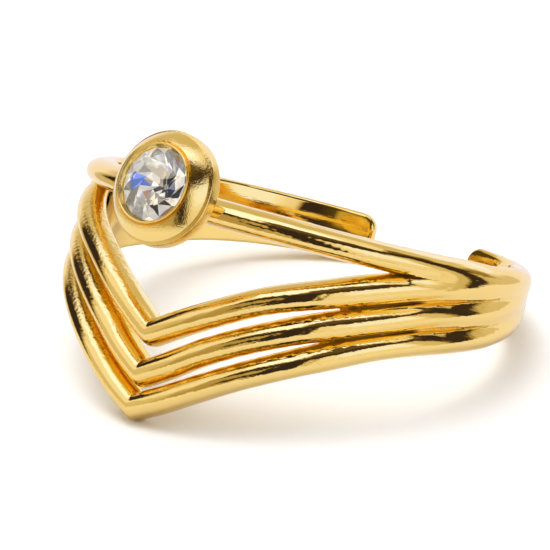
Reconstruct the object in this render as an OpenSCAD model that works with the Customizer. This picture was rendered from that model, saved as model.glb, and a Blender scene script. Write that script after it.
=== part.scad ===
// Open chevron ring with a stone in a turned cup.
// Three round-fronted wires run in a V across the front and a plain bar crosses above them.
// Wires and bar grow into one plain band at each side, and the band ends are open at the back.
// The cup is soldered to the middle of the bar. All the metal is one solid, the stone another.
// Millimetres. The ring is drawn with its finger axis along Z and its front towards -Y,
// then tipped back until the lowest V and the two band ends stand on the plane Z = 0.

/* [Ring] */
// Inner diameter, the finger's
inner_d = 18; // [16:0.1:20]
// Angle between the middle of the back and each open end
end_angle = 17; // [10:0.5:24]
// Angle from the front at which the wires have grown into the band
side_angle = 95; // [88:1:104]

/* [Wires] */
// Thickness of the wires, from inside to outside
wire_t = 1.2; // [1.1:0.05:1.6]
// Height of the V wires, along the finger
wire_h = 1.2; // [1:0.05:1.3]
// Height of the bar, along the finger
bar_h = 1.2; // [1:0.05:1.4]
// Depth of the wires' round front
wire_front = 0.85; // [0.6:0.05:1]
// Radius of the wires' inner corners
wire_edge = 0.18; // [0.1:0.02:0.3]

/* [Heights along the finger] */
// Middle of the bar at the front, above the plane where heights start
bar_z = 2.65; // [2.4:0.05:3.2]
// Drop of the bar from the front to the sides
bar_drop = 0.5; // [0.3:0.05:0.7]
// Bow of the bar's middle, outwards to its cup
bar_bow = 0.3; // [0.1:0.02:0.4]
// Middle of the top V wire at its corner, below that plane
v1_depth = 3.1; // [2.8:0.05:3.4]
// Middle of the middle V wire at its corner, below that plane
v2_depth = 4.9; // [4.6:0.05:5.1]
// Middle of the lowest V wire at its corner, below that plane
v3_depth = 6.35; // [6.2:0.05:6.8]
// Climb of the top V wire from its corner to the side
v1_rise = 5.2; // [4.8:0.05:5.5]
// Climb of the middle V wire from its corner to the side
v2_rise = 5.8; // [5.5:0.05:6.1]
// Climb of the lowest V wire from its corner to the side
v3_rise = 6.15; // [5.9:0.05:6.5]
// Rounding of each V's lower corner
v_round = 0.12; // [0.05:0.01:0.2]

/* [Band] */
// Thickness of the band behind the wires
band_t = 1; // [0.8:0.05:1.1]
// Top edge of the band at its open ends
end_top = 2.55; // [2.3:0.05:2.9]
// Bottom edge of the band at its open ends
end_bottom = 0.3; // [0:0.05:0.6]
// Radius of the corners at the open ends, seen from outside
end_round = 0.7; // [0.4:0.05:0.75]
// Radius of the band's outer long edges
band_crown = 0.6; // [0.3:0.05:0.7]

/* [Cup] */
// Diameter of the stone
stone_d = 3.2; // [2.6:0.1:3.6]
// Diameter of the cup's thin lip
lip_d = 3.56; // [3.5:0.02:3.8]
// Diameter of the cup's shoulder
shoulder_d = 4.8; // [4.6:0.05:5]
// Diameter of the cup's foot
foot_d = 5.05; // [4.9:0.05:5.4]
// Height of the lip above the back of the foot
lip_h = 1.42; // [1.4:0.02:1.6]
// Height of the shoulder's sharp edge above the back of the foot
shoulder_h = 0.72; // [0.6:0.02:0.85]
// Diameter of the solder between the foot and the bar
solder_d = 1.6; // [1:0.1:2]
// Upward tilt of the cup, seen from the side
cup_tilt = 12; // [4:1:20]
// Height of the cup's middle above the bar's middle
cup_rise = 0.4; // [0.2:0.02:0.6]
// Distance from the bar's front to the middle of the foot's back
cup_out = 0.14; // [0.1:0.02:0.2]

/* [Stone] */
// Diameter of the stone's table
table_d = 1.8; // [1.4:0.05:2]
// Height of the crown above the girdle
crown_h = 0.42; // [0.3:0.02:0.55]
// Height of the girdle
girdle_h = 0.08; // [0.05:0.01:0.12]
// Depth of the pavilion below the girdle
pavilion_h = 0.8; // [0.6:0.05:0.85]
// Depth of the girdle below the lip
stone_sink = 0.26; // [0.2:0.02:0.34]
// Gap between the stone and the cup
stone_gap = 0.04; // [0.02:0.01:0.06]

/* [Hidden] */

inner_r = inner_d / 2;
outer_r = inner_r + wire_t;
fillet_steps = 3;
station_step = 4;
round_angle = 2.4;

// The climb of each V as a share of its full climb: angle from the front, then the three Vs.
// The last row is at the side, and the rows between are placed by their share of that angle.
CLIMB = [
    [0.00, 0.000, 0.000, 0.000],
    [0.08, 0.145, 0.130, 0.106],
    [0.17, 0.300, 0.290, 0.243],
    [0.30, 0.512, 0.486, 0.442],
    [0.44, 0.680, 0.660, 0.632],
    [0.61, 0.823, 0.807, 0.805],
    [0.79, 0.922, 0.928, 0.914],
    [1.00, 1.000, 1.000, 1.000]
];

// The bar's drop as a share of its full drop, at shares of the angle to the side.
DROP = [
    [0.00, 0.00],
    [0.32, 0.12],
    [0.63, 0.40],
    [0.84, 0.62],
    [1.00, 1.00]
];

// How far the wires' crests have sunk towards the band's face, at shares of that angle.
SINK = [
    [0.00, 0.00],
    [0.62, 0.00],
    [0.80, 0.45],
    [1.00, 1.00]
];

// Value of a table's column at x, on a smooth curve through its rows.
function row_at(table, x, i = 0) =
    (i >= len(table) - 2 || x < table[i + 1][0]) ? i : row_at(table, x, i + 1);
function rate(table, col, i) =
    let (a = max(i - 1, 0), b = min(i + 1, len(table) - 1))
    (table[b][col] - table[a][col]) / (table[b][0] - table[a][0]);
function smooth_at(table, col, x) =
    let (
        i = row_at(table, x),
        w = table[i + 1][0] - table[i][0],
        u = min(max((x - table[i][0]) / w, 0), 1),
        start_rate = rate(table, col, i) * w,
        end_rate = rate(table, col, i + 1) * w
    )
    (2 * pow(u, 3) - 3 * pow(u, 2) + 1) * table[i][col]
        + (pow(u, 3) - 2 * pow(u, 2) + u) * start_rate
        + (3 * pow(u, 2) - 2 * pow(u, 3)) * table[i + 1][col]
        + (pow(u, 3) - pow(u, 2)) * end_rate;

// A point at an angle from the front, a distance from the axis and a height.
function on_ring(angle, r, z) = [r * sin(angle), -r * cos(angle), z];

// Middle height of V wire number v (1 to 3), and of the bar.
V_DEPTH = [v1_depth, v2_depth, v3_depth];
V_RISE = [v1_rise, v2_rise, v3_rise];
function v_z(v, angle) =
    V_RISE[v - 1] * smooth_at(CLIMB, v, abs(angle) / side_angle) - V_DEPTH[v - 1];
function bar_mid(angle) = bar_z - bar_drop * smooth_at(DROP, 1, abs(angle) / side_angle);

// How much taller a wire's upright section is where the wire climbs.
probe = 1;
function stretch(v, angle) =
    let (
        a = max(abs(angle), probe),
        climb = (v_z(v, a + probe) - v_z(v, a - probe)) / 2,
        run = (inner_r + wire_t / 2) * probe * PI / 180
    )
    sqrt(1 + pow(climb / run, 2));

// Section of a wire: [distance outwards from the inside, height], round in front.
function wire_profile(h) = concat(
    [for (a = [90 : -30 : -90])
        [wire_t - wire_front + wire_front * cos(a), h / 2 * sin(a)]],
    [for (a = [270 : -45 : 180])
        [wire_edge + wire_edge * cos(a), -h / 2 + wire_edge + wire_edge * sin(a)]],
    [for (a = [180 : -45 : 90])
        [wire_edge + wire_edge * cos(a), h / 2 - wire_edge + wire_edge * sin(a)]]
);

// The crests sink by this much where the wires grow into the band.
crest_drop = wire_t - band_t;
function sunk(angle) = crest_drop * smooth_at(SINK, 1, abs(angle) / side_angle);

// Section of V wire v at an angle. Its lower side is rounded off at the corner of the V.
function v_section(v, angle) =
    let (
        tall = stretch(v, angle),
        lift = v_round * pow(max(0, 1 - abs(angle) / round_angle), 2),
        drop = sunk(angle)
    )
    [for (p = wire_profile(wire_h))
        on_ring(
            angle,
            inner_r + p[0] * (1 - drop / wire_t),
            v_z(v, angle) + p[1] * tall + (p[1] < 0 ? lift * -p[1] / (wire_h / 2) : 0)
        )];

// The bar bows outwards over this angle each side of the cup.
bow_angle = 40;
function bow(angle) = bar_bow * pow(cos(90 * min(abs(angle) / bow_angle, 1)), 2);
function bar_section(angle) =
    let (drop = sunk(angle), r = inner_r + bow(angle))
    [for (p = wire_profile(bar_h))
        on_ring(angle, r + p[0] * (1 - drop / wire_t), bar_mid(angle) + p[1])];

// Edges of the band: level with the outer wires, then along straight lines to the ends.
last_angle = 180 - end_angle;
end_reach = end_round / (inner_r + band_t / 2) * 180 / PI;
function along(angle) = min(max((abs(angle) - side_angle) / (last_angle - side_angle), 0), 1);
side_bottom = v3_rise - v3_depth - wire_h / 2;
side_top = bar_z - bar_drop + bar_h / 2;
function end_cut(angle) =
    let (u = max(0, 1 - (last_angle - abs(angle)) / end_reach))
    end_round * (1 - sqrt(1 - u * u));
function band_low(angle) =
    (abs(angle) < side_angle
        ? v_z(3, angle) - wire_h / 2 * stretch(3, angle)
        : end_bottom - (end_bottom - side_bottom) * pow(1 - along(angle), 2))
    + end_cut(angle);
function band_high(angle) =
    (abs(angle) < side_angle
        ? bar_mid(angle) + bar_h / 2
        : side_top + (end_top - side_top) * along(angle))
    - end_cut(angle);

// Where the band begins: the gap between bar and top V has closed there.
web_angle = 0.66 * side_angle;
// The metal between the wires grows to the band's full thickness over this angle.
web_reach = 16;
web_start = 0.5;
function web_share(angle) =
    web_start + (1 - web_start) * sin(90 * min(max((abs(angle) - web_angle) / web_reach, 0), 1));

// Section of the band, a tall plate with a rounded outside.
function band_section(angle) =
    let (
        low = band_low(angle),
        high = band_high(angle),
        face_r = inner_r + band_t * web_share(angle),
        e = wire_edge,
        c = min(band_crown, face_r - inner_r - e)
    )
    concat(
        [for (a = [90 : -30 : 0])
            on_ring(angle, face_r - c + c * cos(a), high - c + c * sin(a))],
        [for (a = [0 : -30 : -90])
            on_ring(angle, face_r - c + c * cos(a), low + c + c * sin(a))],
        [for (a = [270 : -45 : 180])
            on_ring(angle, inner_r + e + e * cos(a), low + e + e * sin(a))],
        [for (a = [180 : -45 : 90])
            on_ring(angle, inner_r + e + e * cos(a), high - e + e * sin(a))]
    );

// Angles of the sections along a wire and along the band.
v_angles = concat(
    [0, round_angle / 2, round_angle],
    [for (i = [1 : ceil(side_angle / station_step)]) min(i * station_step, side_angle)]
);
band_steps = ceil((last_angle - end_reach - web_angle) / station_step);
band_angles = concat(
    [for (i = [0 : band_steps])
        web_angle + (last_angle - end_reach - web_angle) * i / band_steps],
    [for (i = [1 : fillet_steps]) last_angle - end_reach * (1 - sin(90 * i / fillet_steps))]
);

// Rest pose: the tilt at which the lowest corner and the open ends stand level.
front_feet = v_section(3, 0);
back_feet = [for (a = band_angles) each band_section(a)];
function support(points, tilt) =
    let (
        level = [for (p = points) p[2] * cos(tilt) - p[1] * sin(tilt)],
        lowest = min(level)
    )
    [for (i = [0 : len(points) - 1]) if (level[i] <= lowest) points[i]][0];
function settle(tilt, rounds) =
    let (front = support(front_feet, tilt), back = support(back_feet, tilt))
    rounds == 0 ? tilt : settle(atan2(back[2] - front[2], back[1] - front[1]), rounds - 1);
rest_tilt = settle(20, 6);
foot_point = support(front_feet, rest_tilt);
lift = foot_point[1] * sin(rest_tilt) - foot_point[2] * cos(rest_tilt);

// Middle of the cup's foot, and the direction in which the cup looks.
cup_r = outer_r + bar_bow + cup_out;
cup_z = bar_z + cup_rise;

// The ring is centred front to back on its own length.
cup_y = -cup_r * cos(rest_tilt) + cup_z * sin(rest_tilt);
looks = cup_tilt + rest_tilt;
function tipped_y(p) = p[1] * cos(rest_tilt) + p[2] * sin(rest_tilt);
front_y = min(
    min([for (p = front_feet) tipped_y(p)]),
    cup_y - lip_h * cos(looks) - lip_d / 2 * sin(looks),
    cup_y - shoulder_h * cos(looks) - shoulder_d / 2 * sin(looks),
    cup_y - foot_d / 2 * sin(looks)
);
back_y = max([for (p = back_feet) tipped_y(p)]);
shift_y = -(front_y + back_y) / 2;

module at_rest() {
    translate([0, shift_y, lift]) rotate([-rest_tilt, 0, 0]) children();
}

// One stretch of wire or band between two sections.
module stretch_between(a, b) {
    hull() polyhedron(
        points = concat(a, b),
        faces = [[for (i = [0 : len(a) + len(b) - 1]) i]]
    );
}

module both_sides() {
    children();
    mirror([1, 0, 0]) children();
}

module v_wire(v) {
    both_sides()
        for (i = [0 : len(v_angles) - 2])
            stretch_between(v_section(v, v_angles[i]), v_section(v, v_angles[i + 1]));
}

module bar() {
    both_sides()
        for (i = [0 : len(v_angles) - 2])
            stretch_between(bar_section(v_angles[i]), bar_section(v_angles[i + 1]));
}

module side_bands() {
    both_sides()
        for (i = [0 : len(band_angles) - 2])
            stretch_between(band_section(band_angles[i]), band_section(band_angles[i + 1]));
}

// Sizes inside the cup.
seat_r = stone_d / 2 + stone_gap;
lip_w = 0.07;
girdle_top = lip_h - stone_sink;
step_w = 0.04;
neck_r = lip_d / 2 + step_w;
neck_h = lip_h - 2 * step_w;
pocket_floor = girdle_top - girdle_h - pavilion_h - stone_gap;

// The solder reaches to the middle of the bar.
solder_l = cup_out + wire_t / 2;

// Half section of the cup: solder, foot, sharp-edged round shoulder, step and thin lip round a pocket.
module cup_profile() {
    shoulder_drop = neck_h - shoulder_h;
    shoulder_w = shoulder_d / 2 - neck_r;
    polygon(concat(
        [[0, -solder_l], [solder_d / 2, -solder_l], [solder_d / 2, 0]],
        [[foot_d / 2 - step_w, 0], [foot_d / 2, step_w]],
        [[foot_d / 2, shoulder_h - 2 * step_w], [shoulder_d / 2 - step_w, shoulder_h - step_w]],
        [for (a = [0 : 15 : 90])
            [neck_r + shoulder_w * cos(a), shoulder_h + shoulder_drop * sin(a)]],
        [[lip_d / 2, neck_h], [lip_d / 2, lip_h], [lip_d / 2 - lip_w, lip_h]],
        [[seat_r, girdle_top + stone_gap], [seat_r, girdle_top - girdle_h - stone_gap]],
        [[0, pocket_floor]]
    ));
}

module on_cup() {
    translate([0, -cup_r, cup_z]) rotate([90 - cup_tilt, 0, 0]) children();
}

module ring_band() {
    color("gold")
    at_rest() {
        for (v = [1 : 3]) v_wire(v);
        bar();
        side_bands();
        on_cup() rotate_extrude($fn = 60) cup_profile();
    }
}

// A disc of the cut: its corners are the corners of the facets.
disc_h = 0.002;
module cut_ring(d, z, sides, turn) {
    translate([0, 0, z - disc_h]) rotate([0, 0, turn]) cylinder(h = disc_h, d = d, $fn = sides);
}

// Round cut with an eight-sided table, a crown in two rows of facets and a pointed pavilion.
facets = 8;
module crystal() {
    half_turn = 180 / facets;
    shoulder_ring_d = (table_d + stone_d) / 2;
    color("whitesmoke")
    at_rest() on_cup() translate([0, 0, girdle_top]) hull() {
        cut_ring(table_d, crown_h, facets, 0);
        cut_ring(shoulder_ring_d, crown_h * 0.62, facets, half_turn);
        cut_ring(stone_d, 0, 2 * facets, half_turn);
        cut_ring(stone_d, -girdle_h + disc_h, 2 * facets, half_turn);
        cut_ring(disc_h, -girdle_h - pavilion_h + disc_h, facets, 0);
    }
}

ring_band();
crystal();
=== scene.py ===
"""Chevron ring: the looks of its metal and stone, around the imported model. Built in mm, then scaled."""
import math

import bmesh
import bpy
import numpy as np
from mathutils import Matrix, Vector


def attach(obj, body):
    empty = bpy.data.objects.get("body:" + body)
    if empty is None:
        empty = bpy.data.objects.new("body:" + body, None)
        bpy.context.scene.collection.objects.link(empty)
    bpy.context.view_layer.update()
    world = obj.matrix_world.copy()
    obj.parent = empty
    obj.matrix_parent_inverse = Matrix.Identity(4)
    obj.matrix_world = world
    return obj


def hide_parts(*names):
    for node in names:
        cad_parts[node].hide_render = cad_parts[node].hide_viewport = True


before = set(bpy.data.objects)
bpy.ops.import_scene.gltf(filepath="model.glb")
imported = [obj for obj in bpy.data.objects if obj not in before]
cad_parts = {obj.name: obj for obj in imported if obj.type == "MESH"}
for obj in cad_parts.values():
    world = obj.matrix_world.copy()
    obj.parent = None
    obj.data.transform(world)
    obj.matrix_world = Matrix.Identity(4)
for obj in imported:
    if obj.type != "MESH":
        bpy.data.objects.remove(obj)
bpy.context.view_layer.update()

MM = 0.001

# Driving sizes in mm and degrees, as in the part's source
INNER_R = 9.0
WIRE_T = 1.2
WIRE_H = 1.2
WIRE_FRONT = 0.85
WIRE_EDGE = 0.18
END_ANGLE = 17.0
SIDE_ANGLE = 95.0
BAR_Z = 2.65
BAR_DROP = 0.5
BAR_BOW = 0.3
BOW_ANGLE = 40.0
V_DEPTH = (3.1, 4.9, 6.35)
V_RISE = (5.2, 5.8, 6.15)
V_ROUND = 0.12
BAND_T = 1.0
END_TOP = 2.55
END_BOTTOM = 0.3
END_ROUND = 0.7
BAND_CROWN = 0.6
STONE_D = 3.2
LIP_D = 3.56
SHOULDER_D = 4.8
FOOT_D = 5.05
LIP_H = 1.42
SHOULDER_H = 0.72
SOLDER_D = 1.6
CUP_TILT = 12.0
CUP_RISE = 0.4
CUP_OUT = 0.14
TABLE_D = 1.8
CROWN_H = 0.42
GIRDLE_H = 0.08
PAVILION_H = 0.8
STONE_SINK = 0.26
STONE_GAP = 0.04

# Sizes that the looks alone have: the angles where the metal between the wires starts, under the
# bar and in the two slits, its slant in degrees for each mm outwards, and the cup's lip in mm
WEB_ANGLE = 0.625 * SIDE_ANGLE
UPPER_SLIT_ANGLE = 47.5
LOWER_SLIT_ANGLE = 50.5
WEB_SLANT = 5.0
LIP_W = 0.09

# The rest pose, as the part's source works it out from these sizes: how far the ring is tipped
# back, in degrees, then how far it is moved back and lifted, in mm
REST_TILT = 21.7785
SHIFT_Y = 1.16086
LIFT = 3.00554

# Shares of each V's climb, and of the bar's drop, at shares of the side angle
CLIMB = np.array([
    [0.00, 0.000, 0.000, 0.000],
    [0.08, 0.145, 0.130, 0.106],
    [0.17, 0.300, 0.290, 0.243],
    [0.30, 0.512, 0.486, 0.442],
    [0.44, 0.680, 0.660, 0.632],
    [0.61, 0.823, 0.807, 0.805],
    [0.79, 0.922, 0.928, 0.914],
    [1.00, 1.000, 1.000, 1.000],
])
DROP = np.array([[0.00, 0.00], [0.32, 0.12], [0.63, 0.40], [0.84, 0.62], [1.00, 1.00]])
# How far the wires' crests have sunk towards the band's face, past the side angle too
SINK = np.array([[0.00, 0.00], [0.66, 0.00], [0.86, 0.34], [1.00, 0.66], [1.12, 1.00], [1.30, 2.00]])
# Fillets between two wires, then between a wire and the plate, in mm, at angles from the front
FILLET = np.array([[0, 0.02], [50, 0.03], [70, 0.05], [84, 0.1], [100, 0.2], [120, 0.2]])
WEB_FILLET = np.array([[0, 0.10], [72, 0.12], [84, 0.20], [98, 0.26], [108, 0.26], [124, 0.02]])


def smooth_at(table, col, x):
    """Value of a table's column at x, on a smooth curve through its rows."""
    keys = table[:, 0]
    vals = table[:, col]
    count = len(keys)
    below = np.maximum(np.arange(count) - 1, 0)
    above = np.minimum(np.arange(count) + 1, count - 1)
    rates = (vals[above] - vals[below]) / (keys[above] - keys[below])
    i = np.clip(np.searchsorted(keys, x, side="right") - 1, 0, count - 2)
    w = keys[i + 1] - keys[i]
    u = np.clip((x - keys[i]) / w, 0, 1)
    return (
        (2 * u**3 - 3 * u**2 + 1) * vals[i]
        + (u**3 - 2 * u**2 + u) * rates[i] * w
        + (3 * u**2 - 2 * u**3) * vals[i + 1]
        + (u**3 - u**2) * rates[i + 1] * w
    )


# Curves of the ring along the angle from the front, in degrees
ANGLES = np.linspace(0, 180, 1441)
LAST_ANGLE = 180 - END_ANGLE
SIDE_LOW = V_RISE[2] - V_DEPTH[2] - WIRE_H / 2
SIDE_HIGH = BAR_Z - BAR_DROP + WIRE_H / 2


def hump(middle, width):
    """1 at the middle angle, falling to about a third at a width from it on each side."""
    return np.exp(-(((ANGLES - middle) / width) ** 2))


def eased(start, end):
    """0 up to the start angle and 1 from the end angle, with a smooth rise between."""
    share = np.clip((ANGLES - start) / (end - start), 0, 1)
    return share * share * (3 - 2 * share)


# Near the angle where the slits between them close, the V wires are thicker by these shares and
# hang lower by these depths
THICKER_BY = (0.09, 0.055, 0.04)
THICKER_ANGLE = 50
THICKER_SPREAD = 12
DIP_BY = (0.12, 0.075, 0.115)
DIP_ANGLE = 43
DIP_SPREAD = 15
THICKER = [1 + share * hump(THICKER_ANGLE, THICKER_SPREAD) for share in THICKER_BY]
DIP = [depth * hump(DIP_ANGLE, DIP_SPREAD) for depth in DIP_BY]


def wire_heights():
    """Middle height of the bar and the three Vs at each angle. Past the side they follow the band."""
    side_share = np.minimum(ANGLES / SIDE_ANGLE, 1)
    beyond = np.clip((ANGLES - SIDE_ANGLE) / (LAST_ANGLE - SIDE_ANGLE), 0, 1)
    low_shift = (END_BOTTOM - SIDE_LOW) * (1 - (1 - beyond) ** 2)
    high_shift = (END_TOP - SIDE_HIGH) * beyond
    bar = BAR_Z - BAR_DROP * smooth_at(DROP, 1, side_share) + high_shift
    shifts = (high_shift, low_shift, low_shift)
    vees = [
        V_RISE[v] * smooth_at(CLIMB, v + 1, side_share) - V_DEPTH[v] + shifts[v] - DIP[v]
        for v in range(3)
    ]
    return [bar] + vees


WIRE_Z = wire_heights()
# How steeply each wire climbs: the cosine of its slope
STEP_ARC = math.radians(ANGLES[1]) * (INNER_R + WIRE_T / 2)
WIRE_LEAN = [1 / np.sqrt(1 + (np.gradient(z) / STEP_ARC) ** 2) for z in WIRE_Z]
BOW = BAR_BOW * np.cos(np.radians(90 * np.minimum(ANGLES / BOW_ANGLE, 1))) ** 2
# The wires' thickness outwards as a share of their full one
SUNK = smooth_at(SINK, 1, np.minimum(ANGLES / SIDE_ANGLE, SINK[-1, 0]))
SQUEEZE = 1 - (WIRE_T - BAND_T) / WIRE_T * SUNK
# Heights half way between neighbouring wires
VALLEY_Z = [
    (WIRE_Z[v] - WIRE_H / 2 / WIRE_LEAN[v] + WIRE_Z[v + 1] + WIRE_H / 2 / WIRE_LEAN[v + 1]) / 2
    for v in range(3)
]

# The plate's edges start this far inside the bar and the lowest V, and come level with them over
# these angles. Later the two wires run out inside the plate.
TUCK = 0.13
LOW_EDGE_LEVELS = (46, 78)
HIGH_EDGE_LEVELS = (58, 88)
WIRES_RUN_OUT = (104, 126)
BAND_LOW = WIRE_Z[3] - WIRE_H / 2 / WIRE_LEAN[3] + TUCK * (1 - eased(*LOW_EDGE_LEVELS))
BAND_HIGH = WIRE_Z[0] + WIRE_H / 2 - TUCK * (1 - eased(*HIGH_EDGE_LEVELS))
WIRE_TUCK = TUCK * eased(*WIRES_RUN_OUT)
WIRE_Z[0] = WIRE_Z[0] - WIRE_TUCK
WIRE_Z[3] = WIRE_Z[3] + WIRE_TUCK
# The inner wall is crowned: towards its edges it falls back by this much, from these angles on
CROWN_DEPTH = 0.09
CROWN_STARTS = (108, 125)
CROWN_FALL = CROWN_DEPTH * eased(*CROWN_STARTS)
# Depth of the metal between the wires, as a share of the band's thickness, at angles from the
# front: in the slits between the Vs, then in the crotch between the bar and the top V
WEB = np.array([
    [40, 0.30, 0.30],
    [50, 0.45, 0.32],
    [56, 0.52, 0.36],
    [59, 0.55, 0.46],
    [62, 0.58, 0.66],
    [65, 0.60, 0.86],
    [68, 0.63, 0.97],
    [71, 0.65, 1.00],
    [74, 0.68, 1.00],
    [84, 0.84, 1.00],
    [98, 0.97, 1.00],
    [106, 1.00, 1.00],
])
SLIT_WEB = smooth_at(WEB, 1, np.clip(ANGLES, WEB[0, 0], WEB[-1, 0]))
CROTCH_WEB = smooth_at(WEB, 2, np.clip(ANGLES, WEB[0, 0], WEB[-1, 0]))
# The metal between two wires is lowest along a line half way between them
VALLEY_W = 0.12
VALLEY_RISE = 0.28
# Extra metal that fills the crotch, at angles from the front, in mm
FILL = np.array([[0, 0], [58, 0], [64, 0.05], [69, 0.12], [77, 0.15], [88, 0.09], [100, 0]])
CROTCH_FILL = smooth_at(FILL, 1, np.minimum(ANGLES, FILL[-1, 0]))
FILL_W = 0.42
# The fillets are in full on the ring's outside, from this far out, and hardly there inside it
BLEND_FROM = 0.45
BLEND_LEAST = 0.1
BLEND = np.interp(ANGLES, FILLET[:, 0], FILLET[:, 1])
WEB_BLEND = np.interp(ANGLES, WEB_FILLET[:, 0], WEB_FILLET[:, 1])
# The wires stop at this angle, inside the band
WIRE_LAST = 130
# The outer lower corner of each V is rounded over this angle, in degrees
CORNER_ANGLE = math.degrees(V_ROUND / (WIRE_H / 2) / (INNER_R + WIRE_T))
# Rounding of the plate's first edge, between the wires
START_ROUND = 0.16


def rounded_max(a, b, r):
    """Cut of two shapes whose shared edge is rounded with radius r."""
    return np.minimum(np.maximum(a, b), -r) + np.hypot(np.maximum(a + r, 0), np.maximum(b + r, 0))


def blend_min(a, b, k):
    """Union of two shapes with a fillet of about k."""
    h = np.maximum(k - np.abs(a - b), 0) / k
    return np.minimum(a, b) - h * h * k / 4


def wire_shape(p, q):
    """Distance from a wire's D-shaped section: p outwards from its back, q up from its middle."""
    nose = np.hypot(np.maximum(p - (WIRE_T - WIRE_FRONT), 0) / WIRE_FRONT, q / (WIRE_H / 2))
    return rounded_max((nose - 1) * WIRE_H / 2, -p, WIRE_EDGE)


def ring_shape(x, y, z):
    """Distance from the ring's metal without the cup, in mm, below 0 inside."""
    angle = np.degrees(np.arctan2(np.abs(x), -y))
    out = np.hypot(x, y) - INNER_R

    def at(curve, a=angle):
        return np.interp(a, ANGLES, curve)

    low = at(BAND_LOW)
    high = at(BAND_HIGH)
    across = np.clip((2 * z - low - high) / (high - low), -1, 1)
    fall = at(CROWN_FALL) * across**2
    out = out - fall
    squeeze = at(SQUEEZE)
    outside = np.clip(out / BLEND_FROM, BLEND_LEAST, 1)
    # The bar, then the three Vs, whose outer lower corners are rounded
    fillet = at(BLEND) * outside
    wire_out = out - at(WIRE_TUCK)
    whole = wire_shape((wire_out - at(BOW)) / squeeze, z - at(WIRE_Z[0]))
    for v in (1, 2, 3):
        lean = at(WIRE_LEAN[v])
        up = (z - at(WIRE_Z[v])) * lean
        share = np.clip(0.5 - up / WIRE_H, 0, 1)
        rounded = np.hypot(angle, CORNER_ANGLE * share)
        up = (z - at(WIRE_Z[v], rounded)) * lean
        whole = blend_min(whole, wire_shape(wire_out / squeeze, up / at(THICKER[v - 1])), fillet)
    whole = rounded_max(whole, np.radians(angle - WIRE_LAST) * INNER_R, WIRE_EDGE)
    # The plate's outer face: between the wires first, then over the whole band
    above = z > at(WIRE_Z[1])
    valley = np.minimum.reduce([np.abs(z - at(line)) for line in VALLEY_Z])
    rise = VALLEY_RISE * np.minimum(valley / VALLEY_W, 1)
    web = np.where(above, at(CROTCH_WEB), at(SLIT_WEB))
    face = (BAND_T - fall) * np.minimum(web + rise, 1)
    face = face + at(CROTCH_FILL) * np.exp(-(((z - at(VALLEY_Z[0])) / FILL_W) ** 2))
    # A fillet lifts the face by a quarter of its size
    face = face - np.maximum(at(WEB_BLEND) - WEB_FILLET[0, 1], 0) / 4
    # The plate's edges, its open end, its start and its crowned face
    crown = np.minimum(BAND_CROWN, face - WIRE_EDGE)
    tall = np.abs(z - (low + high) / 2) - (high - low) / 2
    past_end = np.radians(angle - LAST_ANGLE) * (INNER_R + BAND_T / 2)
    slit_end = np.where(z > at(WIRE_Z[2]), UPPER_SLIT_ANGLE, LOWER_SLIT_ANGLE)
    start = np.where(above, WEB_ANGLE, slit_end + WEB_SLANT * out)
    before = np.radians(start - angle) * (INNER_R + BAND_T / 2)
    plate = rounded_max(rounded_max(tall, past_end, END_ROUND), before, START_ROUND)
    plate = rounded_max(rounded_max(plate, out - face, crown), -out, WIRE_EDGE)
    return blend_min(whole, plate, at(WEB_BLEND) * outside)


# Meshing of the surface. Its cells follow the ring: their length in degrees, shorter in a zone at
# the V's corner, and their depth outwards in mm.
ANGLE_CELL = 1.0
CORNER_CELL = 0.4
CORNER_ZONE = 5
OUT_CELL = 0.085
# Rows of cells on each wire, in the gaps between Vs and in the one under the bar. A wire's rows
# reach a little past it, and take at most a share of the way to the next wire.
WIRE_CELLS = 19
GAP_CELLS = 3
CROTCH_CELLS = 7
ROW_REACH = 1.12
ROW_SHARE = 0.44
EDGE_REACH = 1.4
# From this angle on the rows spread out evenly, which takes them so many degrees
EVEN_FROM = 80
EVEN_OVER = 25
# Half the step over which a slope is measured, the least slope that a pull divides by, and the
# longest pull
PROBE = 0.004
LEAST_SLOPE = 0.05
MAX_PULL = 0.04
# Points this near the V's mitre take each side's own normal, from this share of the way inwards
MITRE_W = 1e-3
MITRE_SHARE = 0.15


def slope(shape, points):
    """Gradient of a shape's distance at each point."""
    parts = []
    for axis in np.eye(3) * PROBE:
        ahead = shape(*(points + axis).T)
        parts.append((ahead - shape(*(points - axis).T)) / (2 * PROBE))
    return np.stack(parts, 1)


def pull_in(shape, points, passes):
    """Moves points onto the surface of a shape."""
    for _ in range(passes):
        grad = slope(shape, points)
        step = shape(*points.T)[:, None] * grad / np.maximum((grad**2).sum(1), LEAST_SLOPE)[:, None]
        points = points - np.clip(step, -MAX_PULL, MAX_PULL)
    return points


def on_ring(angle, r, z):
    """A point at an angle from the front, a distance from the axis and a height."""
    return r * np.sin(np.radians(angle)), -r * np.cos(np.radians(angle)), z


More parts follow.
